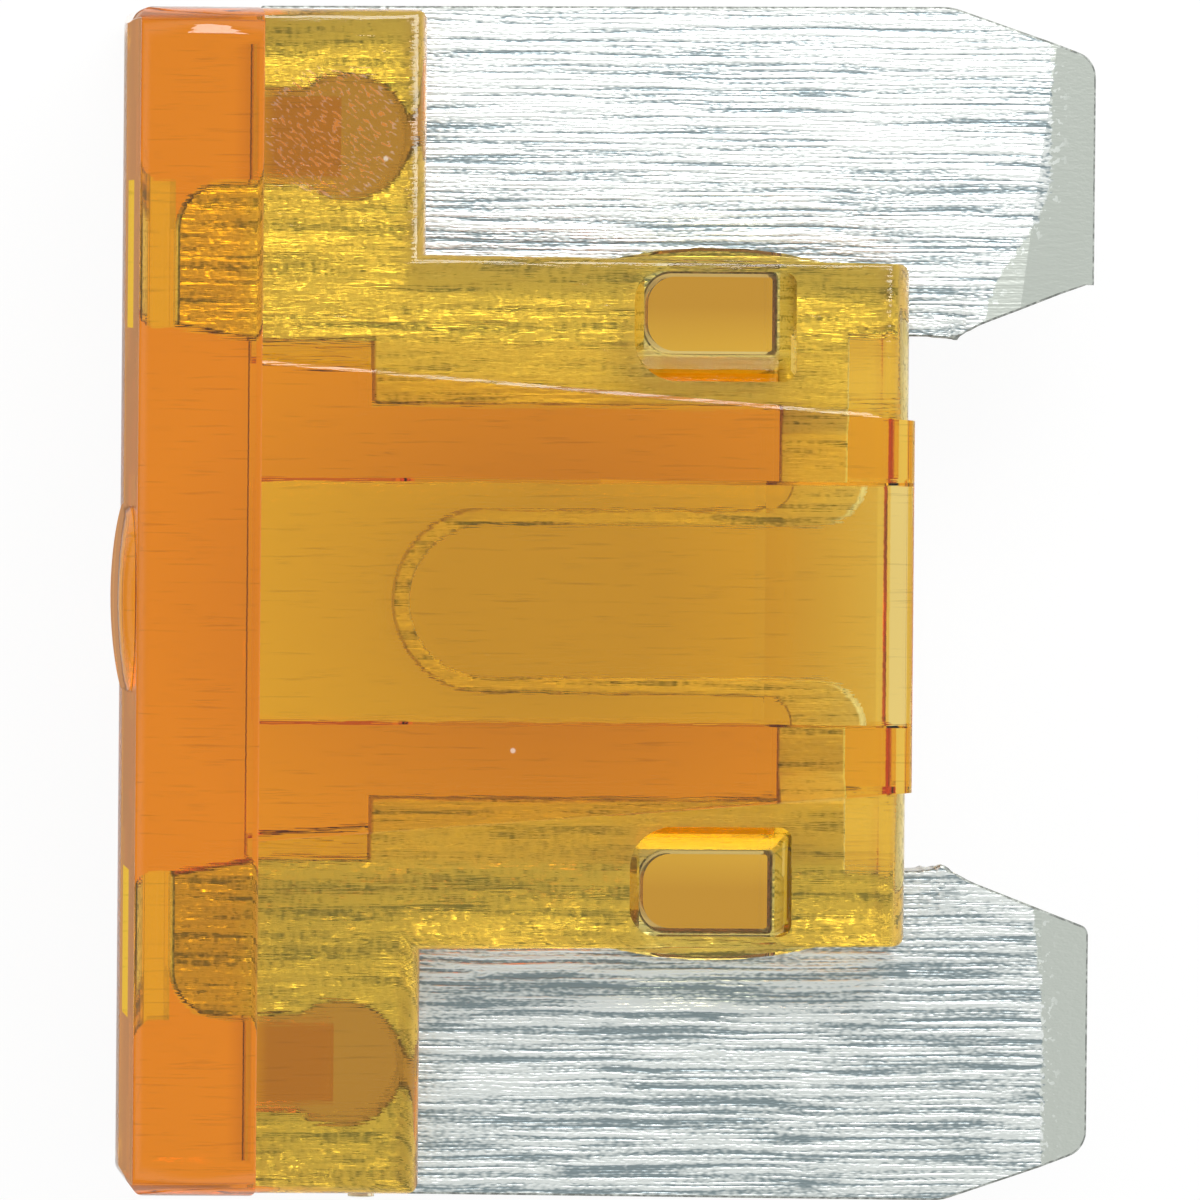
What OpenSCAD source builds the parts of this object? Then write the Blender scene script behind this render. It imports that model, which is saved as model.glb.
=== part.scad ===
// Low-profile automotive blade fuse, lying on its back face.
// X runs from the head to the blade tips, Y runs across the two blades, Z is the thickness.
// The modules are drawn about the fuse's middle plane, with x = 0 on the head's top face.

/* [Overall] */
// Length from the head's top face to the blade tips
fuse_len = 8.84; // [8.4:0.01:10]
// Width across the outer edges of the two blades
fuse_w = 10.94; // [10.2:0.02:12]
// Thickness of the head, which is the thickest part
head_t = 3.81; // [3.6:0.01:4.6]

/* [Housing head] */
// Height of the head, from its top face to its underside
head_h = 1.12; // [0.9:0.02:1.4]
// How far the moulding's sides stand back from the blades' outer edges
side_inset = 0.08; // [0.06:0.01:0.12]
// Radius of the head's four long edges
head_edge_r = 0.34; // [0.1:0.02:0.5]
// Radius of the head's short edges, round its top face
head_rim_r = 0.12; // [0.04:0.02:0.2]
// Length of the raised pad on the head's top face, across the thickness
pad_len = 3; // [2.4:0.05:3.4]
// Width of the raised pad, along the head
pad_w = 1.7; // [1:0.05:2.4]
// Height of the raised pad at its crown
pad_rise = 0.1; // [0.05:0.01:0.2]
// Height of the pad at the rim, below the dome
pad_rim = 0.03; // [0.02:0.01:0.04]
// Depth of the two test openings, from the top face down to the metal
probe_depth = 0.39; // [0.2:0.01:0.6]
// Size of a test opening across the thickness
probe_t = 1.2; // [0.9:0.05:1.6]

/* [Housing body] */
// Length from the head's top face to the body's open end
body_len = 7.07; // [6:0.01:7.6]
// Length of the full-width shoulders below the head
shoulder_len = 1.52; // [1.2:0.02:1.8]
// Thickness of the shoulders and of the wings beside the panel
body_t = 2.4; // [2:0.05:2.9]
// How far each wing laps over its blade's inner edge
wing_lap = 0.71; // [0.6:0.01:0.9]
// Narrowing of each wing from the shoulder to the open end
wing_draft = 0.05; // [0.01:0.01:0.1]
// Radius of the shoulders' outer corners
shoulder_r = 0.12; // [0.05:0.01:0.3]
// Radius of the shoulders' edges on the front and back
shoulder_edge_r = 0.18; // [0.05:0.01:0.3]
// Radius of the wings' corners at the open end
wing_r = 0.12; // [0.05:0.01:0.3]
// Radius of the wings' long edges
wing_edge_r = 0.12; // [0.05:0.01:0.2]
// Radius of the wings' edges at the open end
wing_end_r = 0.26; // [0.1:0.01:0.4]
// Thickness across the raised centre panels, front to back
panel_t = 3.4; // [3:0.05:3.55]
// Width of a centre panel where it leaves the head
panel_top_w = 4.32; // [3.8:0.02:4.8]
// Width of a centre panel at the body's open end
panel_end_w = 3.38; // [3:0.02:4]
// Radius of the panels' edges at the open end
panel_edge_r = 0.07; // [0.03:0.01:0.12]
// Width of the chamber that holds the fuse link
chamber_w = 2.24; // [2:0.02:2.5]
// Depth of the chamber, front to back
chamber_t = 1.2; // [0.9:0.05:1.6]
// Depth of the chamber at its mouth
mouth_t = 2; // [1.7:0.05:2.4]
// Length of the straight stretch at the mouth
mouth_len = 0.3; // [0.1:0.01:0.4]
// Length over which the chamber's front and back walls open out before that
flare_len = 1.0; // [0.6:0.02:1.4]
// Gap between the moulding and the metal on every side
gap = 0.03; // [0.01:0.005:0.05]

/* [Stakes and rib] */
// Length of the punched recess over each stake
recess_len = 1.24; // [1.2:0.02:1.6]
// Width of the flat floor of the recess
recess_w = 0.78; // [0.6:0.02:0.95]
// Depth of the recess below the wing's face
recess_depth = 0.45; // [0.3:0.01:0.6]
// Width of the recess's sloping inner wall
recess_slope = 0.22; // [0.1:0.01:0.3]
// Length of the sloping walls at the recess's two ends
recess_draft = 0.12; // [0.05:0.01:0.2]
// Thickness of the plastic lip between the recess and the wing's edge
recess_lip = 0.13; // [0.08:0.01:0.2]
// How far the punch swells the wing's edge outwards
swell = 0.09; // [0.03:0.01:0.12]
// Length of the locating rib below the head
rib_len = 0.76; // [0.5:0.02:0.9]
// Width of the locating rib
rib_w = 0.72; // [0.5:0.02:0.78]
// Width of the gate mark on one shoulder's side
gate_w = 0.24; // [0.1:0.02:0.4]
// How far the gate mark stands out
gate_rise = 0.04; // [0.02:0.01:0.06]

/* [Blades] */
// Width of a blade
blade_w = 3.02; // [2.7:0.02:3.3]
// Thickness of a blade
blade_t = 0.8; // [0.6:0.02:1]
// How far a blade's outer edge spreads between its root and its tip
blade_spread = 0.05; // [0.01:0.01:0.06]
// Length of the angled lead-in at a blade's tip
tip_len = 1.35; // [0.9:0.05:1.6]
// Width taken off the blade's outer edge at the tip
tip_out = 0.46; // [0.2:0.02:0.6]
// Width taken off the blade's inner edge at the tip
tip_in = 0.52; // [0.2:0.02:0.7]
// Radius of the outer corner of a blade's tip
tip_outer_r = 0.24; // [0.05:0.01:0.4]
// Radius of the inner corner of a blade's tip
tip_inner_r = 0.1; // [0.04:0.01:0.2]
// Radius that blends a blade's edges into the angled lead-in
tip_blend_r = 0.5; // [0.1:0.1:1]
// Length of the coined bevel that thins a blade's tip
coin_len = 0.45; // [0.3:0.01:0.8]
// Depth of the coined bevel into each face of a blade
coin_depth = 0.2; // [0.1:0.01:0.28]

/* [Terminal roots] */
// Width of the test tab that stands up inside the head
tab_w = 1.42; // [1.2:0.02:1.7]
// Radius of the test tab's outer corner
tab_r = 0.42; // [0.2:0.02:0.6]
// Narrowing of the test tab's inner edge towards its end
tab_taper = 0.13; // [0.05:0.01:0.25]
// How far the root stands inwards of the blade's inner edge
root_step = 0.08; // [0.05:0.01:0.3]
// Radius of the round notch that fits round the locating rib
notch_r = 0.57; // [0.5:0.01:0.65]
// Distance of the notch's centre below the head
notch_drop = 0.82; // [0.7:0.01:0.9]
// Width of the slot that leads into the notch
notch_slot_w = 0.88; // [0.84:0.01:0.98]
// Distance below the head at which the inner web begins
web_drop = 1.08; // [0.9:0.02:1.3]
// How far the web stands inwards of the blade's inner edge
web_step = 0.65; // [0.5:0.01:0.8]
// Length of the window that takes the stake
window_len = 1.2; // [1:0.02:1.4]
// Width of the window that takes the stake
window_w = 0.74; // [0.6:0.02:0.84]
// Distance from the window to the body's open end
window_inset = 1.19; // [1.1:0.02:1.3]
// Radius of the window's two corners nearer the head
window_r = 0.25; // [0.1:0.01:0.3]
// Radius that the punch leaves in the stamping's other corners
punch_r = 0.03; // [0.01:0.01:0.05]

/* [Fuse link] */
// Width of the narrow link
link_w = 0.15; // [0.1:0.01:0.24]
// Thickness of the link and of the legs that carry it
link_t = 0.3; // [0.2:0.02:0.5]
// Distance between the centre lines of the link's two straights
link_gap = 1.54; // [1.3:0.02:1.7]
// Distance from the head to the crown of the link's bend
link_drop = 1.28; // [0.6:0.02:1.8]
// Width of the legs that join the link to the blades
leg_w = 0.62; // [0.5:0.02:0.8]
// Distance from the legs to the body's open end
leg_inset = 0.52; // [0.4:0.02:0.6]
// Outer bend radius where a leg turns into the link
leg_outer_r = 0.45; // [0.3:0.01:0.5]
// Inner bend radius where a leg turns into the link
leg_inner_r = 0.25; // [0.1:0.01:0.3]
// Length of the coined ramp between the blade's thickness and the leg's
ramp_len = 0.24; // [0.1:0.02:0.3]

/* [Hidden] */
$fn = 48;
// Overlap that carries a cut past the face it opens through
cut = 1;

housing_w = fuse_w - 2 * side_inset;
shoulder_x = head_h + shoulder_len;
blade_in = fuse_w / 2 - blade_w;
wing_half = blade_in + wing_lap;
slot_t = blade_t + 2 * gap;
root_in = blade_in - root_step;
web_in = blade_in - web_step;
web_x = head_h + web_drop;
ear_x = head_h + gap;
tab_x = probe_depth;
tab_out = root_in + tab_w;
notch_x = head_h + notch_drop;
notch_y = tab_out + notch_slot_w / 2;
leg_end_x = body_len - leg_inset;
leg_x = leg_end_x - leg_w;
window_end_x = body_len - window_inset;
window_x = window_end_x - window_len;
stake_x = window_x + window_len / 2;
recess_out = wing_half - recess_lip;
recess_in = recess_out - recess_w;
window_y = recess_out - recess_w / 2;
link_in = (link_gap - link_w) / 2;
link_out = (link_gap + link_w) / 2;
bend_x = head_h + link_drop + link_out;

function unit(v) = v / norm(v);

function cross_z(u, v) = u.x * v.y - u.y * v.x;

// How corner number i of an outline is rounded: its two tangent points, its centre and its turn.
// Corners are given as [x, y, radius], anticlockwise.
function corner(corners, i) =
    let (
        n = len(corners),
        b = corners[i],
        p = [b.x, b.y],
        before = corners[(i + n - 1) % n],
        after = corners[(i + 1) % n],
        u = unit([before.x, before.y] - p),
        v = unit([after.x, after.y] - p),
        half = acos(u * v) / 2
    )
    [p + u * b.z / tan(half), p + v * b.z / tan(half), p + unit(u + v) * b.z / sin(half), cross_z(v, u)];

// A closed outline with true arcs at its rounded corners. The whole circle of each rounded corner
// has to fit inside the outline, or outside it where the corner is hollow.
module outline(corners) {
    indices = [for (i = [0:len(corners) - 1]) i];
    round = [for (i = indices) if (corners[i].z > 0) i];
    points = [
        for (i = indices)
            each corners[i].z > 0 ? [corner(corners, i)[0], corner(corners, i)[1]] : [[corners[i].x, corners[i].y]]
    ];
    difference() {
        union() {
            polygon(points);
            for (i = round)
                if (corner(corners, i)[3] > 0) translate(corner(corners, i)[2]) circle(r = corners[i].z);
        }
        for (i = round)
            if (corner(corners, i)[3] < 0) translate(corner(corners, i)[2]) circle(r = corners[i].z);
    }
}

module both_sides() {
    children();
    mirror([0, 1, 0]) children();
}

// Extrudes a plan drawn in X and Y to a thickness about the middle plane.
module plate(thickness) {
    linear_extrude(height = thickness, center = true) children();
}

// Extrudes a profile drawn in X and Z right across the fuse.
module across(width) {
    rotate([90, 0, 0]) linear_extrude(height = width, center = true) children();
}

// Sets a piece drawn about the middle plane down on its back face.
module laid_down() {
    translate([-(fuse_len - pad_rise) / 2, 0, head_t / 2]) children();
}

// A rectangle centred on y = 0 with its own radius at the start and at the end.
module rounded_bar(from, to, width, start_r, end_r) {
    outline([
        [from, -width / 2, start_r],
        [to, -width / 2, end_r],
        [to, width / 2, end_r],
        [from, width / 2, start_r]
    ]);
}

// Extrudes a section drawn in Z and Y along the fuse, from one x to another.
module along(from, to) {
    translate([from, 0, 0]) rotate([0, 90, 0]) linear_extrude(height = to - from) children();
}

module head_block() {
    intersection() {
        along(0, head_h) rounded_bar(-head_t / 2, head_t / 2, housing_w, head_edge_r, head_edge_r);
        plate(head_t) rounded_bar(0, head_h, housing_w, head_rim_r, head_rim_r / 2);
        across(housing_w) rounded_bar(0, head_h, head_t, head_rim_r, head_rim_r / 2);
    }
}

// Domed oval pad in the middle of the head's top face.
module rating_pad() {
    dome_r = (pow(pad_w / 2, 2) + pow(pad_rise - pad_rim, 2)) / (2 * (pad_rise - pad_rim));
    intersection() {
        rotate([0, -90, 0])
            linear_extrude(height = 2 * pad_rise, center = true)
                for (side = [-1, 1]) {
                    translate([side * (pad_len - pad_w) / 2, 0]) circle(d = pad_w);
                    square([pad_len - pad_w, pad_w], center = true);
                }
        translate([dome_r - pad_rise, 0, 0])
            cylinder(r = dome_r, h = head_t, center = true, $fn = 96);
    }
}

module shoulders() {
    intersection() {
        plate(body_t) rounded_bar(head_h / 2, shoulder_x, housing_w, 0, shoulder_r);
        across(housing_w) rounded_bar(head_h / 2, shoulder_x, body_t, 0, shoulder_edge_r);
        along(head_h / 2, shoulder_x) rounded_bar(-body_t / 2, body_t / 2, housing_w, wing_edge_r, wing_edge_r);
    }
}

// The swelling that a stake's punch pushes out of a wing's edge.
module edge_swell() {
    swell_len = recess_len + 2 * recess_slope;
    swell_r = (pow(swell_len / 2, 2) + pow(swell, 2)) / (2 * swell);
    plate(body_t - 2 * wing_edge_r)
        translate([stake_x, wing_half + swell - swell_r])
            intersection() {
                circle(r = swell_r, $fn = 96);
                translate([-swell_r, swell_r - swell - recess_lip]) square([2 * swell_r, swell + recess_lip]);
            }
}

// The narrow body beside the panels, with its rounded open end.
module wings() {
    intersection() {
        plate(body_t)
            outline([
                [head_h / 2, -wing_half, 0],
                [shoulder_x, -wing_half, 0],
                [body_len, wing_draft - wing_half, wing_r],
                [body_len, wing_half - wing_draft, wing_r],
                [shoulder_x, wing_half, 0],
                [head_h / 2, wing_half, 0]
            ]);
        across(2 * wing_half) rounded_bar(head_h / 2, body_len, body_t, 0, wing_end_r);
        along(head_h / 2, body_len) rounded_bar(-body_t / 2, body_t / 2, 2 * wing_half, wing_edge_r, wing_edge_r);
    }
    both_sides() edge_swell();
}

// The raised panels on the front and back, which narrow towards the open end.
module centre_panels() {
    intersection() {
        plate(panel_t)
            polygon([
                [head_h / 2, -panel_top_w / 2],
                [head_h, -panel_top_w / 2],
                [body_len, -panel_end_w / 2],
                [body_len, panel_end_w / 2],
                [head_h, panel_top_w / 2],
                [head_h / 2, panel_top_w / 2]
            ]);
        across(panel_top_w) rounded_bar(head_h / 2, body_len, panel_t, 0, panel_edge_r);
    }
}

// The chamber round the link, with front and back walls that open out towards its mouth.
module chamber() {
    mouth_x = body_len - mouth_len;
    across(chamber_w)
        polygon([
            [head_h, -chamber_t / 2],
            [mouth_x - flare_len, -chamber_t / 2],
            [mouth_x, -mouth_t / 2],
            [body_len + cut, -mouth_t / 2],
            [body_len + cut, mouth_t / 2],
            [mouth_x, mouth_t / 2],
            [mouth_x - flare_len, chamber_t / 2],
            [head_h, chamber_t / 2]
        ]);
}

// Plan of the pocket that takes one terminal: the tab's pocket in the head, the slot that is open
// at the side, and the way in for the leg.
module slot_plan() {
    outline([
        [tab_x - gap, root_in + tab_taper - gap, 0],
        [head_h, root_in - gap, 0],
        [head_h + gap, root_in - gap, 0],
        [head_h + gap, tab_out + gap, 0],
        [tab_x - gap, tab_out + gap, tab_r + gap]
    ]);
    polygon([
        [head_h, root_in - gap],
        [web_x - gap, root_in - gap],
        [web_x - gap, web_in - gap],
        [leg_x - gap, web_in - gap],
        [leg_x - gap, 0],
        [body_len + cut, 0],
        [body_len + cut, fuse_w],
        [head_h, fuse_w]
    ]);
}

module probe_opening() {
    translate([-cut, root_in + tab_taper - gap, -probe_t / 2])
        cube([probe_depth - gap + cut, tab_w - tab_taper + 2 * gap, probe_t]);
}

module locating_rib() {
    translate([head_h / 2, notch_y - rib_w / 2, -slot_t / 2])
        cube([head_h / 2 + rib_len, rib_w, slot_t]);
}

// Plan shared by the stake and the metal's window, smaller by an inset on every side.
module window_plan(inset) {
    outline([
        [window_x + inset, window_y - window_w / 2 + inset, window_r],
        [window_end_x - inset, window_y - window_w / 2 + inset, punch_r],
        [window_end_x - inset, window_y + window_w / 2 - inset, punch_r],
        [window_x + inset, window_y + window_w / 2 - inset, window_r]
    ]);
}

module stake() {
    plate(slot_t + 2 * gap) window_plan(gap);
}

// The pocket that the staking punch leaves in a wing's front face, with three sloping walls.
module stake_recess() {
    floor_z = body_t / 2 - recess_depth;
    rim_z = body_t / 2 + recess_depth;
    rim_draft = 2 * recess_draft;
    rim_slope = 2 * recess_slope;
    intersection() {
        plate(2 * body_t)
            outline([
                [stake_x - recess_len / 2 - recess_draft, recess_in - recess_slope, recess_w / 2],
                [stake_x + recess_len / 2 + recess_draft, recess_in - recess_slope, recess_draft],
                [stake_x + recess_len / 2 + recess_draft, recess_out, recess_draft],
                [stake_x - recess_len / 2 - recess_draft, recess_out, recess_w / 3]
            ]);
        across(fuse_w)
            polygon([
                [stake_x - recess_len / 2, floor_z],
                [stake_x + recess_len / 2, floor_z],
                [stake_x + recess_len / 2 + rim_draft, rim_z],
                [stake_x - recess_len / 2 - rim_draft, rim_z]
            ]);
        translate([shoulder_x, 0, 0])
            rotate([90, 0, 90])
                linear_extrude(height = body_len)
                    polygon([
                        [recess_in, floor_z],
                        [recess_out, floor_z],
                        [recess_out, rim_z],
                        [recess_in - rim_slope, rim_z]
                    ]);
    }
}

// Nub left on one shoulder's side where the moulding was broken from its runner.
module gate_mark() {
    translate([shoulder_x - shoulder_len / 3, -housing_w / 2 - gate_rise, (slot_t + body_t) / 4])
        rotate([-90, 0, 0]) cylinder(d = gate_w, h = gate_w);
}

module housing() {
    color("orange")
        laid_down() {
            difference() {
                union() {
                    head_block();
                    rating_pad();
                    shoulders();
                    wings();
                    centre_panels();
                }
                chamber();
                both_sides() {
                    plate(slot_t) slot_plan();
                    probe_opening();
                    stake_recess();
                    mirror([0, 0, 1]) stake_recess();
                }
            }
            both_sides() {
                locating_rib();
                stake();
            }
            gate_mark();
        }
}

// Plan of one terminal: blade, ear, test tab, root and web, with its notch and window.
module terminal_plan() {
    half_w = fuse_w / 2;
    difference() {
        union() {
            outline([
                [ear_x, blade_in, 0],
                [fuse_len - tip_len, blade_in, tip_blend_r],
                [fuse_len, blade_in + tip_in, tip_inner_r],
                [fuse_len, half_w - tip_out, tip_outer_r],
                [fuse_len - tip_len, half_w, tip_blend_r],
                [ear_x, half_w - blade_spread, punch_r]
            ]);
            outline([
                [tab_x, root_in + tab_taper, 0],
                [head_h, root_in, 0],
                [web_x, root_in, 0],
                [web_x, web_in, punch_r],
                [leg_end_x, web_in, 0],
                [leg_end_x, blade_in + cut, 0],
                [notch_x, blade_in + cut, 0],
                [notch_x, tab_out, 0],
                [tab_x, tab_out, tab_r]
            ]);
        }
        translate([notch_x, notch_y]) circle(r = notch_r);
        translate([-cut, notch_y - notch_slot_w / 2]) square([notch_x + cut, notch_slot_w]);
        window_plan(0);
    }
}

// Profile of a blade in X and Z: full thickness, then the coined bevel on both faces.
module coined_profile() {
    polygon([
        [0, -blade_t / 2],
        [fuse_len - coin_len, -blade_t / 2],
        [fuse_len, coin_depth - blade_t / 2],
        [fuse_len, blade_t / 2 - coin_depth],
        [fuse_len - coin_len, blade_t / 2],
        [0, blade_t / 2]
    ]);
}

// Plan of one leg and of the straight that it turns into.
module leg_plan() {
    intersection() {
        outline([
            [bend_x, link_in, 0],
            [leg_end_x, link_in, 0],
            [leg_end_x, web_in, 0],
            [leg_x, web_in, 0],
            [leg_x, link_out, leg_inner_r],
            [bend_x, link_out, 0]
        ]);
        outline([
            [0, link_in, 0],
            [leg_end_x, link_in, leg_outer_r],
            [leg_end_x, fuse_w, 0],
            [0, fuse_w, 0]
        ]);
    }
}

module bend_plan() {
    translate([bend_x, 0])
        intersection() {
            difference() {
                circle(r = link_out);
                circle(r = link_in);
            }
            translate([-link_out - cut, -link_out - cut]) square([link_out + cut, 2 * (link_out + cut)]);
        }
}

// The coined ramp that thins a leg from the blade's thickness.
module ramp() {
    translate([leg_x, 0, 0])
        rotate([90, 0, 90])
            linear_extrude(height = leg_w)
                polygon([
                    [web_in + gap, -blade_t / 2],
                    [web_in + gap, blade_t / 2],
                    [web_in, blade_t / 2],
                    [web_in - ramp_len, link_t / 2],
                    [web_in - ramp_len, -link_t / 2],
                    [web_in, -blade_t / 2]
                ]);
}

module fuse_element() {
    color("silver")
        laid_down() {
            intersection() {
                plate(blade_t) both_sides() terminal_plan();
                across(2 * fuse_w) coined_profile();
            }
            both_sides() ramp();
            plate(link_t) {
                both_sides() leg_plan();
                bend_plan();
            }
        }
}

housing();
fuse_element();
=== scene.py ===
import math

import bmesh
import bpy
from mathutils import Matrix, Vector, noise


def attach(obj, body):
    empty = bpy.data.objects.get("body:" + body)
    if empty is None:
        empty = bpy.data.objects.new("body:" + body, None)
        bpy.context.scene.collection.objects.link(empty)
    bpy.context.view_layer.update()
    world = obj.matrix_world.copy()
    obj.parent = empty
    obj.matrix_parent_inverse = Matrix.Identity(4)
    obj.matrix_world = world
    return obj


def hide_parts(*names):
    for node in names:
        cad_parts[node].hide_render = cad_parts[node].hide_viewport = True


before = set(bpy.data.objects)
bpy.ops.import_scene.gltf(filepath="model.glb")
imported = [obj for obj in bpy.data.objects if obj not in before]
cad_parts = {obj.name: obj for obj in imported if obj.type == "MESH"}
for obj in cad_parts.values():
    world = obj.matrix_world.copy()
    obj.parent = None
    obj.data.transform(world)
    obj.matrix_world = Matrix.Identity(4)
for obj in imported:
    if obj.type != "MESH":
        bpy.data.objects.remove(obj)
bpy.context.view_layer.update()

# Fuse element
# One stamping in bare zinc alloy: two blades, the test tabs in the head and the thin link between them.
# The strip was brushed along the blades, then punched, which rolled its edges over, and coined at the tips.

MM = 0.001
MIDDLE = 1.905 * MM
COIN_START = 4.02 * MM
# Centre in x and y, reach, shift and raggedness of each burr, in mm
BURRS = (
    ((3.2, 2.46), 0.3, (0, -0.05, -0.04), 1.3),
    ((4.46, 3.02), 0.14, (0, -0.09, 0), 0),
    ((3.13, -2.42), 0.34, (0, 0.06, 0.03), 1)
)


def linear(hex_colour):
    """An sRGB hex colour as linear red, green, blue and alpha."""
    parts = [int(hex_colour[i:i + 2], 16) / 255 for i in (1, 3, 5)]
    return [p / 12.92 if p <= 0.04045 else ((p + 0.055) / 1.055) ** 2.4 for p in parts] + [1]


def add(tree, kind, settings=None, **links):
    """Adds a shader node, sets its properties, and links or sets its inputs by name."""
    node = tree.nodes.new(kind)
    for name, value in (settings or {}).items():
        setattr(node, name, value)
    for name, value in links.items():
        socket = node.inputs[int(name[1:])] if name[1:].isdigit() else node.inputs[name.replace("_", " ")]
        if isinstance(value, bpy.types.NodeSocket):
            tree.links.new(value, socket)
        else:
            socket.default_value = value
    return node


def new_material(name):
    """An empty material, its node tree and its output node."""
    material = bpy.data.materials.new(name)
    material.use_nodes = True
    material.node_tree.nodes.clear()
    return material, material.node_tree, add(material.node_tree, "ShaderNodeOutputMaterial")


def brushed_zinc():
    """Bare zinc alloy strip, brushed lengthwise: thin blue-grey strokes on a near white, finely pitted ground."""
    material, tree, output = new_material("brushed_zinc")
    place = add(tree, "ShaderNodeTexCoord").outputs["Object"]
    split = add(tree, "ShaderNodeSeparateXYZ", Vector=place)
    # The brush left strokes 1 to 2 mm long and 0.03 mm wide, which wander a little from side to side.
    sway_at = add(tree, "ShaderNodeMapping", Vector=place, Scale=(1 / (0.7 * MM),) * 3).outputs[0]
    sway = add(tree, "ShaderNodeTexNoise", Vector=sway_at, Scale=1, Detail=0)
    swayed = add(tree, "ShaderNodeVectorMath", {"operation": "MULTIPLY_ADD"},
                 _0=sway.outputs[0], _1=(0.6 * MM, 0.03 * MM, 0), _2=place).outputs[0]
    strokes_at = add(tree, "ShaderNodeMapping", Vector=swayed,
                     Scale=(1 / (1.6 * MM), 1 / (0.04 * MM), 1 / (0.04 * MM))).outputs[0]
    strokes = add(tree, "ShaderNodeTexNoise", Vector=strokes_at, Scale=1, Detail=2, Roughness=0.6)
    pits_at = add(tree, "ShaderNodeMapping", Vector=place, Scale=(1 / (0.05 * MM), 1 / (0.02 * MM), 1 / (0.02 * MM)))
    pits = add(tree, "ShaderNodeTexNoise", Vector=pits_at.outputs[0], Scale=1, Detail=0)
    marks = add(tree, "ShaderNodeMath", {"operation": "MULTIPLY_ADD"},
                _0=pits.outputs[0], _1=0.25, _2=strokes.outputs[0]).outputs[0]
    # Where the housing covers it the skin gets a grain and painted light that brightens it, and the lower blade gets
    # painted shade that darkens it.
    side = add(tree, "ShaderNodeMath", {"operation": "ABSOLUTE"}, _0=split.outputs["Y"])
    beside = add(tree, "ShaderNodeMapRange", Value=side.outputs[0], From_Min=3.1 * MM, From_Max=3.2 * MM,
                 To_Min=1, To_Max=0)
    ahead = add(tree, "ShaderNodeMapRange", Value=split.outputs["X"], From_Min=2.6 * MM, From_Max=2.7 * MM,
                To_Min=1, To_Max=0)
    behind = add(tree, "ShaderNodeMapRange", Value=split.outputs["X"], From_Min=-1.8 * MM, From_Max=-1.7 * MM,
                 To_Min=1, To_Max=0)
    covered = add(tree, "ShaderNodeMath", {"operation": "MULTIPLY"}, _0=beside.outputs[0], _1=ahead.outputs[0])
    covered = add(tree, "ShaderNodeMath", {"operation": "MAXIMUM"}, _0=covered.outputs[0], _1=behind.outputs[0])
    thick = add(tree, "ShaderNodeMapRange", Value=side.outputs[0], From_Min=2.35 * MM, From_Max=2.4 * MM)
    covered = add(tree, "ShaderNodeMath", {"operation": "MULTIPLY"}, _0=covered.outputs[0], _1=thick.outputs[0])
    # Painted shade: the tone of the lower blade is lowered by 0.02, standing in for the shade on that side.
    lower_blade_shade = add(tree, "ShaderNodeMapRange", Value=split.outputs["Y"], From_Min=-2.6 * MM, From_Max=-2.4 * MM,
                 To_Min=-0.02, To_Max=0)
    marks = add(tree, "ShaderNodeMath", {"operation": "ADD"}, _0=marks, _1=lower_blade_shade.outputs[0])
    # Painted light: under the housing the grain is offset upwards, so it brightens the covered metal as well as
    # mottling it.
    grain_at = add(tree, "ShaderNodeMapping", Vector=place, Scale=(1 / (0.06 * MM), 1 / (0.05 * MM), 0)).outputs[0]
    grain_and_painted_light = add(tree, "ShaderNodeTexNoise", Vector=grain_at, Scale=1, Detail=1)
    grain_and_painted_light = add(tree, "ShaderNodeMapRange", Value=grain_and_painted_light.outputs[0], To_Min=-0.13, To_Max=0.22)
    shade = add(tree, "ShaderNodeMath", {"operation": "MULTIPLY_ADD"},
                _0=grain_and_painted_light.outputs[0], _1=covered.outputs[0], _2=marks.outputs[0])
    # Painted light: the tone of the thin legs and link is raised by 0.07, which brightens them.
    thin_painted_light = add(tree, "ShaderNodeMapRange", Value=thick.outputs[0], To_Min=0.07, To_Max=0)
    shade = add(tree, "ShaderNodeMath", {"operation": "ADD"}, _0=shade.outputs[0], _1=thin_painted_light.outputs[0])
    tone = add(tree, "ShaderNodeValToRGB", Fac=shade.outputs[0])
    tone.color_ramp.elements[0].position = 0.5
    tone.color_ramp.elements[0].color = linear("#97a3a8")
    tone.color_ramp.elements[1].position = 0.65
    tone.color_ramp.elements[1].color = linear("#fbfcfb")
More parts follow.
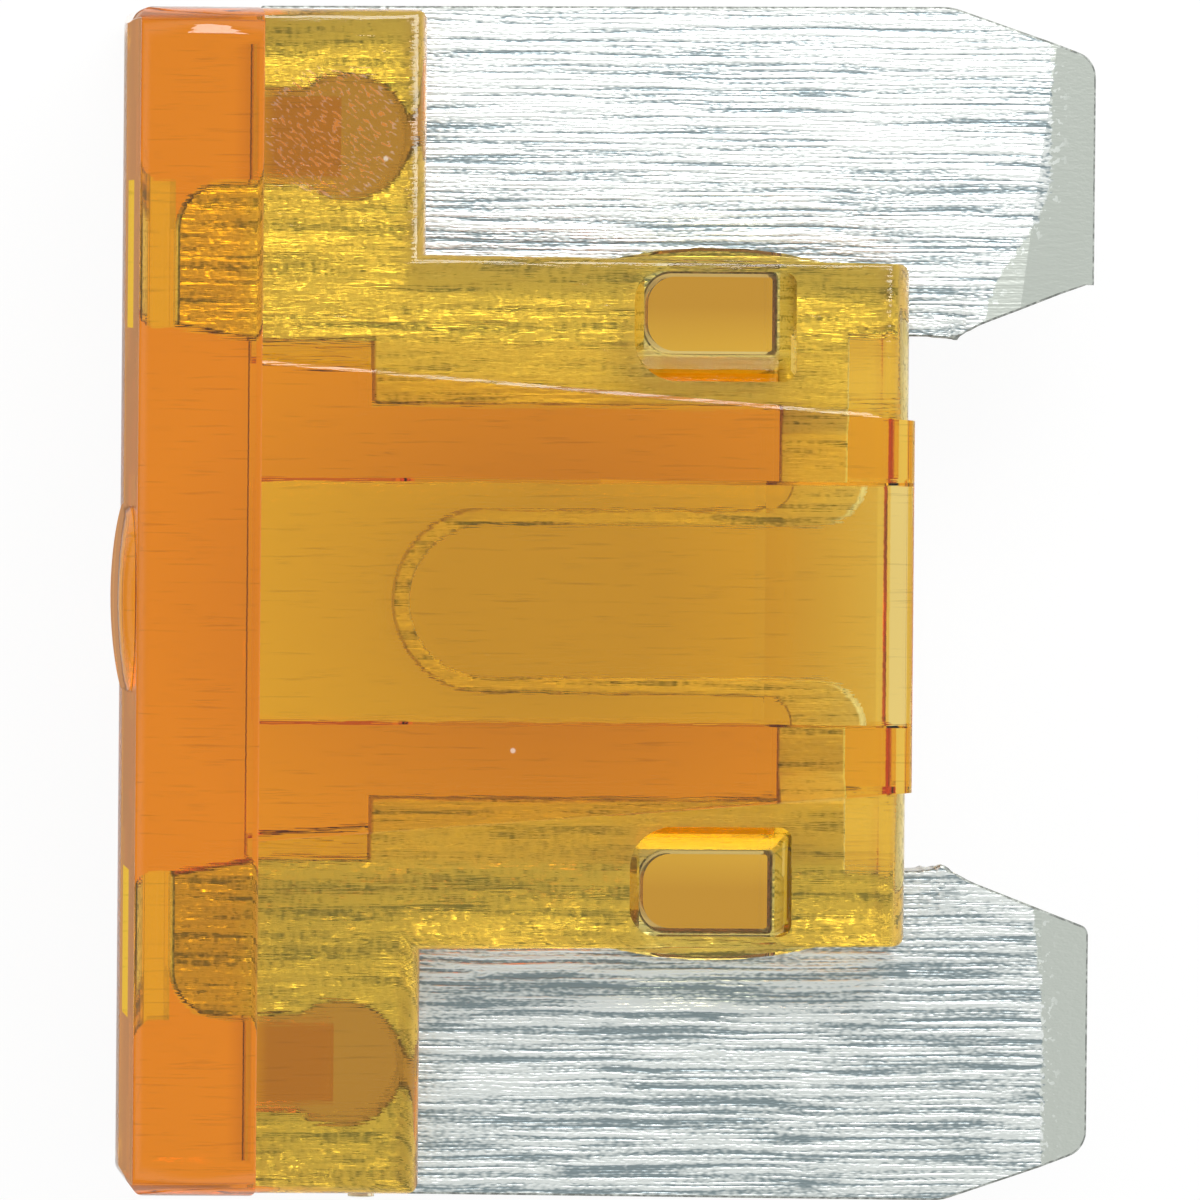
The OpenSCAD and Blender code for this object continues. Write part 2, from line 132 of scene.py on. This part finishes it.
    # The coining die pressed the tips to a smooth grey, up to a ragged edge that bends back on the inner side.
    ragged_at = add(tree, "ShaderNodeMapping", Vector=place, Scale=(1 / (0.06 * MM),) * 3).outputs[0]
    ragged = add(tree, "ShaderNodeTexNoise", Vector=ragged_at, Scale=1, Detail=2)
    inward = add(tree, "ShaderNodeMapRange", {"interpolation_type": "SMOOTHSTEP"}, Value=side.outputs[0],
                 From_Min=3.9 * MM, From_Max=2.6 * MM)
    bent = add(tree, "ShaderNodeMapRange", Value=split.outputs["Y"], From_Min=0, From_Max=1 * MM,
               To_Min=0.1 * MM, To_Max=0.6 * MM)
    bent = add(tree, "ShaderNodeMath", {"operation": "MULTIPLY_ADD"},
               _0=inward.outputs[0], _1=bent.outputs[0], _2=split.outputs["X"])
    edge = add(tree, "ShaderNodeMath", {"operation": "MULTIPLY_ADD"},
               _0=ragged.outputs[0], _1=0.16 * MM, _2=bent.outputs[0])
    coined = add(tree, "ShaderNodeMapRange", Value=edge.outputs[0], From_Min=4.11 * MM, From_Max=4.13 * MM)
    flecks = add(tree, "ShaderNodeMapRange", Value=ragged.outputs[0], From_Min=0.6, From_Max=0.64)
    near_edge = add(tree, "ShaderNodeMapRange", Value=edge.outputs[0], From_Min=4.2 * MM, From_Max=4.35 * MM,
                    To_Min=1, To_Max=0)
    bright = add(tree, "ShaderNodeMath", {"operation": "MULTIPLY"}, _0=flecks.outputs[0], _1=near_edge.outputs[0])
    pressed = add(tree, "ShaderNodeMix", {"data_type": "RGBA"}, Factor=bright.outputs[0], _6=linear("#d7dad3"),
                  _7=linear("#f4f6f2"))
    colour = add(tree, "ShaderNodeMix", {"data_type": "RGBA"}, Factor=coined.outputs[0], _6=tone.outputs[0],
                 _7=pressed.outputs["Result"])
    depth = add(tree, "ShaderNodeMapRange", Value=coined.outputs[0], To_Min=0.014 * MM, To_Max=0.004 * MM)
    bump = add(tree, "ShaderNodeBump", Height=shade.outputs[0], Distance=depth.outputs[0])
    # The legs and the link were pressed thin, which left them matt.
    matt = add(tree, "ShaderNodeMapRange", Value=thick.outputs[0], To_Min=0.65, To_Max=0.38)
    metal = add(tree, "ShaderNodeBsdfPrincipled", Base_Color=colour.outputs["Result"], Metallic=1,
                Roughness=matt.outputs[0], Normal=bump.outputs[0])
    tree.links.new(metal.outputs[0], output.inputs["Surface"])
    return material


def punched_zinc():
    """The torn, dull edge that a punch leaves, which draws a thin dark line round the bright faces."""
    material, tree, output = new_material("punched_zinc")
    place = add(tree, "ShaderNodeTexCoord").outputs["Object"]
    torn_at = add(tree, "ShaderNodeMapping", Vector=place, Scale=(1 / (0.05 * MM),) * 3).outputs[0]
    torn = add(tree, "ShaderNodeTexNoise", Vector=torn_at, Scale=1, Detail=2)
    tone = add(tree, "ShaderNodeValToRGB", Fac=torn.outputs[0])
    tone.color_ramp.elements[0].position = 0.4
    tone.color_ramp.elements[0].color = linear("#7d807c")
    tone.color_ramp.elements[1].position = 0.7
    tone.color_ramp.elements[1].color = linear("#c4c8c2")
    bump = add(tree, "ShaderNodeBump", Height=torn.outputs[0], Distance=0.01 * MM)
    metal = add(tree, "ShaderNodeBsdfPrincipled", Base_Color=tone.outputs[0], Metallic=1, Roughness=0.5,
                Normal=bump.outputs[0])
    tree.links.new(metal.outputs[0], output.inputs["Surface"])
    return material


def edge_rounded(name, node, radius, segments, is_rounded, materials, before=None, after=None):
    """Puts a copy in a node's place, with the edges that a test picks rounded, and changed before and after that."""
    shape = bmesh.new()
    shape.from_mesh(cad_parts[node].data)
    bmesh.ops.remove_doubles(shape, verts=shape.verts, dist=0.002 * MM)
    bmesh.ops.dissolve_limit(shape, angle_limit=math.radians(1), verts=shape.verts, edges=shape.edges)
    if before:
        before(shape)
    edges = [edge for edge in shape.edges if is_rounded(edge)]
    rounded = bmesh.ops.bevel(shape, geom=edges, offset=radius, offset_type="OFFSET", segments=segments,
                              profile=0.5, affect="EDGES")
    for face in rounded["faces"]:
        face.smooth = segments > 1
        face.material_index = len(materials) - 1 if abs(face.calc_center_median().y) > 2.35 * MM else 0
    if after:
        after(shape)
    bmesh.ops.remove_doubles(shape, verts=shape.verts, dist=0.001 * MM)
    mesh = bpy.data.meshes.new(name)
    shape.to_mesh(mesh)
    shape.free()
    for material in materials:
        mesh.materials.append(material)
    piece = bpy.data.objects.new(name, mesh)
    bpy.context.scene.collection.objects.link(piece)
    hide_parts(node)
    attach(piece, "root")
    return piece


def punched_edge(edge):
    """Every edge that the punch or the coining die left sharp."""
    return edge.calc_face_angle(0) > math.radians(35)


def askew_coin(shape):
    """Slides the ends of the upper blade's coined edges, because the die pressed them askew."""
    for vert in shape.verts:
        if abs(vert.co.x - COIN_START) < 0.005 * MM and vert.co.y > 0:
            slide, slope = (0.07 * MM, -0.341) if vert.co.y > 4 * MM else (-0.25 * MM, 0.385)
            vert.co += Vector((slide, slide * slope, 0))


def burrs(shape):
    """Tears the blades' inner edges near the housing and draws the upper tip's inner corner out to a point."""
    for side, last in ((1, 3.6), (-1, 3.5)):
        cuts = [((step * 0.04 + 2.8, 0, 0), (1, 0, 0)) for step in range(round((last - 2.8) / 0.04))]
        for at, facing in cuts + [((0, side * 2.85, 0), (0, 1, 0))]:
            faces = [face for face in shape.faces if face.verts[0].co.y * side > 0
                     and (facing[0] or face.calc_center_median().x > 2.79 * MM)]
            parts = list(dict.fromkeys(part for face in faces for part in (face, *face.edges, *face.verts)))
            bmesh.ops.bisect_plane(shape, geom=parts, plane_co=Vector(at) * MM, plane_no=facing)
    for centre, radius, shift, tear in BURRS:
        for vert in shape.verts:
            away = (Vector(vert.co.xy) - Vector(centre) * MM).length / (radius * MM)
            if away < 1:
                torn = 1 + tear * noise.noise(vert.co / (0.05 * MM))
                vert.co += Vector(shift) * MM * torn * (1 - away) ** 2


stamping = edge_rounded("stamped_element", "fuse_element", 0.02 * MM, 2, punched_edge,
                        (brushed_zinc(), punched_zinc()), askew_coin, burrs)

# Housing
# One moulding in clear amber polyamide, pushed over the stamping and staked through its windows.
# The plastic is deep orange where it is thick and yellow where it lies over the metal.


def amber_polyamide():
    """Clear amber polyamide: a glossy moulded skin over a body that swallows blue and some green."""
    material, tree, output = new_material("amber_polyamide")
    place = add(tree, "ShaderNodeTexCoord").outputs["Object"]
    split = add(tree, "ShaderNodeSeparateXYZ", Vector=place)
    # The mould was ground lengthwise, which left lines 0.8 mm long and 0.04 mm apart.
    lines_at = add(tree, "ShaderNodeMapping", Vector=place,
                   Scale=(1 / (0.8 * MM), 1 / (0.04 * MM), 1 / (0.2 * MM))).outputs[0]
    lines = add(tree, "ShaderNodeTexNoise", Vector=lines_at, Scale=1, Detail=2, Roughness=0.6)
    depth = add(tree, "ShaderNodeMath", {"operation": "SUBTRACT"}, _0=split.outputs["Z"], _1=MIDDLE)
    depth = add(tree, "ShaderNodeMath", {"operation": "ABSOLUTE"}, _0=depth.outputs[0])
    outside = add(tree, "ShaderNodeMapRange", Value=depth.outputs[0], From_Min=1.1 * MM, From_Max=1.15 * MM)
    rough = add(tree, "ShaderNodeMapRange", Value=depth.outputs[0], From_Min=1.45 * MM, From_Max=1.5 * MM,
                To_Min=0.012 * MM, To_Max=0.003 * MM)
    depth = add(tree, "ShaderNodeMath", {"operation": "MULTIPLY"}, _0=outside.outputs[0], _1=rough.outputs[0])
    bump = add(tree, "ShaderNodeBump", Height=lines.outputs[0], Strength=0.6, Distance=depth.outputs[0])
    darkest = add(tree, "ShaderNodeMapRange", Value=outside.outputs[0], To_Min=1, To_Max=0.7)
    clear = add(tree, "ShaderNodeMapRange", Value=lines.outputs[0], From_Min=0.27, From_Max=0.4,
                To_Min=darkest.outputs[0], To_Max=1)
    # Fine voids lie as slanting light flecks over the upper notch, and two specks of lint cling to the front.
    flecks_at = add(tree, "ShaderNodeMapping", {"vector_type": "TEXTURE"}, Vector=place,
                    Rotation=(0, 0, math.radians(-35)), Scale=(0.07 * MM, 0.025 * MM, MM)).outputs[0]
    flecks = add(tree, "ShaderNodeTexNoise", Vector=flecks_at, Scale=1, Detail=0)
    flecks = add(tree, "ShaderNodeMapRange", Value=flecks.outputs[0], From_Min=0.6, From_Max=0.66)
    notch = add(tree, "ShaderNodeVectorMath", {"operation": "DISTANCE"}, _0=place, _1=Vector((-2.6, 4.27, 3.1)) * MM)
    notch = add(tree, "ShaderNodeMapRange", Value=notch.outputs["Value"], From_Min=0.54 * MM, From_Max=0.62 * MM,
                To_Min=1, To_Max=0)
    milky = add(tree, "ShaderNodeMath", {"operation": "MULTIPLY"}, _0=flecks.outputs[0], _1=notch.outputs[0])
    skin = add(tree, "ShaderNodeMix", {"data_type": "RGBA"}, Factor=milky.outputs[0], _6=clear.outputs[0],
               _7=linear("#e09238")).outputs["Result"]
    for speck in ((-0.94, -1.33, 3.6), (-2.11, 4.03, 3.1)):
        lint = add(tree, "ShaderNodeVectorMath", {"operation": "DISTANCE"}, _0=place, _1=Vector(speck) * MM)
        lint = add(tree, "ShaderNodeMapRange", Value=lint.outputs["Value"], From_Min=0.015 * MM, From_Max=0.03 * MM,
                   To_Min=1, To_Max=0)
        milky = add(tree, "ShaderNodeMath", {"operation": "MAXIMUM"}, _0=milky.outputs[0], _1=lint.outputs[0])
        skin = add(tree, "ShaderNodeMix", {"data_type": "RGBA"}, Factor=lint.outputs[0], _6=skin,
                   _7=linear("#f7f1e6")).outputs["Result"]
    see_through = add(tree, "ShaderNodeMapRange", Value=milky.outputs[0], To_Min=1, To_Max=0.6)
    plastic = add(tree, "ShaderNodeBsdfPrincipled", Base_Color=skin, Roughness=0, IOR=1.53,
                  Transmission_Weight=see_through.outputs[0], Normal=bump.outputs[0])
    # The body swallows 0.03, 0.33 and 1.9 of red, green and blue light per millimetre.
    body = add(tree, "ShaderNodeVolumeAbsorption", Color=(0.985, 0.835, 0.05, 1), Density=2000)
    tree.links.new(plastic.outputs[0], output.inputs["Surface"])
    tree.links.new(body.outputs[0], output.inputs["Volume"])
    return material


def moulded_edge(edge):
    """The edges of the wings and the chamber, clear of the slots, the head, the recesses and the panels' sides."""
    middle = (edge.verts[0].co + edge.verts[1].co) / 2
    panel_side = abs(middle.z - MIDDLE) > 1.2 * MM and edge.calc_length() > 3 * MM
    recess = 0.2 * MM < middle.x < 1.7 * MM and 2.2 * MM < abs(middle.y) < 3.05 * MM
    clear = abs(middle.z - MIDDLE) > 0.55 * MM and middle.x > -1.6 * MM and not recess and not panel_side
    return clear and edge.calc_length() > 0.1 * MM and edge.calc_face_angle(0) > math.radians(50)


moulding = edge_rounded("moulded_housing", "housing", 0.03 * MM, 1, moulded_edge, (amber_polyamide(),))

# Table and backdrop
# A matt sheet, larger than the views can see past, that looks white behind the fuse and carries a painted shade seen
# through its plastic.

floor_mesh = bpy.data.meshes.new("white_sheet")
half = 400 * MM
floor_mesh.from_pydata([(-half, -half, 0), (half, -half, 0), (half, half, 0), (-half, half, 0)], [], [(0, 1, 2, 3)])
floor = bpy.data.objects.new("white_sheet", floor_mesh)
floor.location.z = -0.01 * MM
bpy.context.scene.collection.objects.link(floor)


def white_sheet():
    """Matt paper, lifted to white for the camera, where a faint real shadow stays, with a painted amber shade under the
    fuse.
    """
    material, tree, output = new_material("white_sheet")
    path = add(tree, "ShaderNodeLightPath")
    paper = add(tree, "ShaderNodeBsdfDiffuse", Color=(0.9, 0.9, 0.9, 1))
    # Behind the plastic the paper carries a painted shade, darker towards the middle and most of all under the
    # terminals.
    place = add(tree, "ShaderNodeTexCoord").outputs["Object"]
    squashed = add(tree, "ShaderNodeMapping", Vector=place, Location=(0.1, 0, 0),
                   Scale=(1 / (4.2 * MM), 1 / (3.6 * MM), 0)).outputs[0]
    away = add(tree, "ShaderNodeVectorMath", {"operation": "LENGTH"}, _0=squashed).outputs["Value"]
    away = add(tree, "ShaderNodeMapRange", Value=away, From_Min=0.25, From_Max=0.9).outputs[0]
    open_shade = add(tree, "ShaderNodeMix", {"data_type": "RGBA"}, Factor=away, _6=(0.59, 0.52, 0.44, 1),
                     _7=(0.86, 0.79, 0.7, 1)).outputs["Result"]
    split = add(tree, "ShaderNodeSeparateXYZ", Vector=place)
    ahead = add(tree, "ShaderNodeMapRange", Value=split.outputs["X"], From_Min=-1.8 * MM, From_Max=0.5 * MM).outputs[0]
    metal_shade = add(tree, "ShaderNodeMix", {"data_type": "RGBA"}, Factor=ahead, _6=(0.44, 0.31, 0.25, 1),
                      _7=(0.57, 0.45, 0.35, 1)).outputs["Result"]
    side = add(tree, "ShaderNodeMath", {"operation": "ABSOLUTE"}, _0=split.outputs["Y"])
    beside = add(tree, "ShaderNodeMapRange", Value=side.outputs[0], From_Min=2.1 * MM, From_Max=2.7 * MM)
    below = add(tree, "ShaderNodeMapRange", Value=split.outputs["X"], From_Min=-3.4 * MM, From_Max=-3.0 * MM)
    under = add(tree, "ShaderNodeMath", {"operation": "MULTIPLY"}, _0=beside.outputs[0], _1=below.outputs[0])
    shade = add(tree, "ShaderNodeMix", {"data_type": "RGBA"}, Factor=under.outputs[0], _6=open_shade,
                _7=metal_shade).outputs["Result"]
    # The strip of paper along the head's top face, which that face mirrors, gets a painted amber shade for reflected
    # rays.
    mirrored_amber_shade = add(tree, "ShaderNodeMapRange", Value=split.outputs["X"], From_Min=-5.1 * MM, From_Max=-4.7 * MM).outputs[0]
    mirrored_amber_shade = add(tree, "ShaderNodeMath", {"operation": "MULTIPLY"}, _0=mirrored_amber_shade, _1=path.outputs["Is Glossy Ray"])
    beyond = add(tree, "ShaderNodeMath", {"operation": "LESS_THAN"}, _0=split.outputs["X"], _1=-4.4 * MM)
    mirrored_amber_shade = add(tree, "ShaderNodeMath", {"operation": "MULTIPLY"}, _0=mirrored_amber_shade.outputs[0], _1=beyond.outputs[0])
    shade = add(tree, "ShaderNodeMix", {"data_type": "RGBA"}, Factor=mirrored_amber_shade.outputs[0], _6=shade,
                _7=(0.6, 0.3, 0.14, 1)).outputs["Result"]
    colour = add(tree, "ShaderNodeMix", {"data_type": "RGBA"}, Factor=path.outputs["Is Camera Ray"], _6=shade,
                 _7=(1, 1, 1, 1)).outputs["Result"]
    lift = add(tree, "ShaderNodeEmission", Color=colour, Strength=1)
    share = add(tree, "ShaderNodeMath", {"operation": "MULTIPLY_ADD"},
                _0=path.outputs["Is Camera Ray"], _1=0.94, _2=path.outputs["Is Transmission Ray"])
    share = add(tree, "ShaderNodeMath", {"operation": "MAXIMUM"}, _0=share.outputs[0], _1=mirrored_amber_shade.outputs[0])
    mixed = add(tree, "ShaderNodeMixShader", _0=share.outputs[0], _1=paper.outputs[0], _2=lift.outputs[0])
    tree.links.new(mixed.outputs[0], output.inputs["Surface"])
    return material


floor_mesh.materials.append(white_sheet())

# Light
# A pale room, brighter round the sides than overhead, and a softbox close by on the upper blade's side.

world = bpy.data.worlds.new("pale_room")
bpy.context.scene.world = world
world.use_nodes = True
room = world.node_tree
towards_sky = add(room, "ShaderNodeSeparateXYZ", Vector=add(room, "ShaderNodeTexCoord").outputs["Generated"])
height = add(room, "ShaderNodeMath", {"operation": "MULTIPLY_ADD"},
             _0=towards_sky.outputs["X"], _1=0.35, _2=towards_sky.outputs["Z"])
glow = add(room, "ShaderNodeValToRGB", Fac=height.outputs[0])
glow.color_ramp.elements[0].color = (0.5, 0.5, 0.5, 1)
glow.color_ramp.elements[1].position = 0.87
glow.color_ramp.elements[1].color = (0.56, 0.6, 0.58, 1)
for position in (0.2, 0.55):
    glow.color_ramp.elements.new(position).color = (1.15, 1.15, 1.15, 1)
seen = add(room, "ShaderNodeMixRGB", Fac=add(room, "ShaderNodeLightPath").outputs["Is Camera Ray"],
           Color1=glow.outputs[0], Color2=(1, 1, 1, 1))
room.links.new(seen.outputs[0], room.nodes["Background"].inputs["Color"])

SOFTBOX_AT = Vector((7, 22, 26)) * MM
softbox = bpy.data.lights.new("near_softbox", "AREA")
softbox.shape = "RECTANGLE"
softbox.size = 22 * MM
softbox.size_y = 16 * MM
softbox.energy = 0.0088
softbox_stand = bpy.data.objects.new("near_softbox", softbox)
softbox_stand.location = SOFTBOX_AT
softbox_stand.rotation_euler = (-Vector((0, SOFTBOX_AT.y, SOFTBOX_AT.z))).to_track_quat("-Z", "Y").to_euler()
softbox_stand.visible_camera = False
bpy.context.scene.collection.objects.link(softbox_stand)

# Camera
# A long lens almost square above the front face, tipped a little towards the head and the upper blade.

CAMERA_DISTANCE = 150 * MM
VIEW_WIDTH = 11.01 * MM
HEAD_TILT = math.radians(4.1)
SIDE_TILT = math.radians(1.2)
ROLL = math.radians(0.5)
LOOK_AT = Vector((-0.02, 0, 1.905)) * MM
OFF_CENTRE = Vector((-0.018, 0.007)) * MM

towards = Vector((-math.sin(HEAD_TILT) * math.cos(SIDE_TILT), math.sin(SIDE_TILT),
                  math.cos(HEAD_TILT) * math.cos(SIDE_TILT)))
right = Vector((0, 1, 0)).cross(towards).normalized()
up = towards.cross(right)
camera_x = right * math.cos(ROLL) + up * math.sin(ROLL)
camera_y = up * math.cos(ROLL) - right * math.sin(ROLL)
turn = Matrix((camera_x, camera_y, towards)).transposed()
lens = bpy.data.cameras.new("camera")
lens.sensor_width = 36
lens.lens = lens.sensor_width * CAMERA_DISTANCE / VIEW_WIDTH
lens.clip_start = 1 * MM
lens.clip_end = 2
camera = bpy.data.objects.new("camera", lens)
camera.matrix_world = Matrix.Translation(
    LOOK_AT + camera_x * OFF_CENTRE.x + camera_y * OFF_CENTRE.y + towards * CAMERA_DISTANCE) @ turn.to_4x4()
bpy.context.scene.collection.objects.link(camera)
bpy.context.scene.camera = camera
bpy.context.scene.view_settings.view_transform = "Standard"
